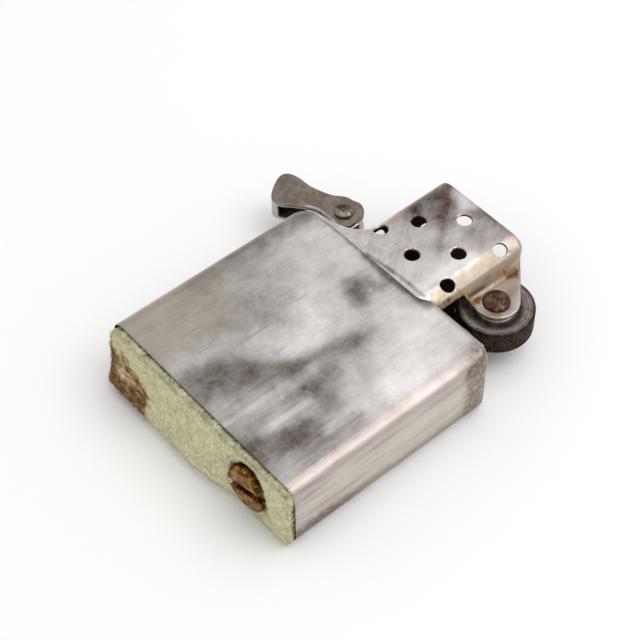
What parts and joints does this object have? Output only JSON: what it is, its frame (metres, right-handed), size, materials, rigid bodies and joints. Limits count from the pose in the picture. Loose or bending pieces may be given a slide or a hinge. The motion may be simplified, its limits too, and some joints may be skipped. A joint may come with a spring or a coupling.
{
  "type": "windproof lighter inside unit",
  "caption": "Inside unit of a windproof petrol lighter: tank with felt bottom, pierced windscreen, flint wheel, sprung cam, wick and flint feed.",
  "frame": {"origin": "centre of the flat back face that the unit rests on", "axes": "+X towards the flint wheel's side, +Y along the unit towards the windscreen, +Z out of the broad front face"},
  "size_m": [0.0441, 0.0505, 0.0107],
  "materials": {
    "shell_steel": "worn and tarnished",
    "deck_steel": "dull",
    "screen_steel": "heat tinted",
    "wheel_steel": "dark, toothed",
    "rivet_steel": "rusted",
    "cam_steel": "smooth, grey",
    "spring_steel": "bright",
    "tube_brass": "dull",
    "screw_brass": "brown, dulled",
    "flint_metal": "dark grey",
    "wick_cotton": "twisted cotton",
    "packing_rayon": "loose fibre",
    "felt": "pressed felt"
  },
  "bodies": {
    "tank": {"tank_shell": "shell_steel", "top_plate": "deck_steel", "windscreen": "screen_steel", "wheel_rivet": "rivet_steel", "cam_rivet": "rivet_steel", "cam_bracket": "deck_steel", "cam_spring": "spring_steel", "flint_tube": "tube_brass", "wick": "wick_cotton", "packing_top": "packing_rayon", "packing_middle": "packing_rayon", "packing_lower": "packing_rayon", "packing_bottom": "packing_rayon", "packing_side": "packing_rayon", "felt_base": "felt"},
    "wheel": {"flint_wheel": "wheel_steel"},
    "cam_body": {"cam": "cam_steel"},
    "flap": {"felt_flap": "felt"},
    "feed": {"flint_spring": "spring_steel", "spring_tip": "tube_brass"},
    "screw": {"flint_screw": "screw_brass"},
    "flint_body": {"flint": "flint_metal"}
  },
  "joints": [
    {"name": "wheel_spin", "type": "hinge", "parent": "tank", "child": "wheel", "pos_m": [0.0103, 0.0242, 0.00535], "axis": [0, 0, 1], "continuous": true},
    {"name": "cam_swing", "type": "hinge", "parent": "tank", "child": "cam_body", "pos_m": [-0.0153, 0.0205, 0.00535], "axis": [0, 0, 1], "range_deg": [-112, 0], "deforming": ["cam_spring"]},
    {"name": "felt_lift", "type": "hinge", "parent": "tank", "child": "flap", "pos_m": [0.0052, -0.0181, 0.00535], "axis": [0, 0, 1], "range_deg": [0, 50]},
    {"name": "screw_draw", "type": "slide", "parent": "tank", "child": "feed", "axis": [0, -1, 0], "range_m": [0, 0.0345]},
    {"name": "screw_turn", "type": "hinge", "parent": "feed", "child": "screw", "pos_m": [0.0103, -0.0181, 0.00535], "axis": [0, -1, 0], "continuous": true},
    {"name": "flint_draw", "type": "slide", "parent": "tank", "child": "flint_body", "axis": [0, -1, 0], "range_m": [0, 0.0345]}
  ],
  "couplings": [
    {"joint": "flint_draw", "follows": "screw_draw", "ratio": 1}
  ]
}
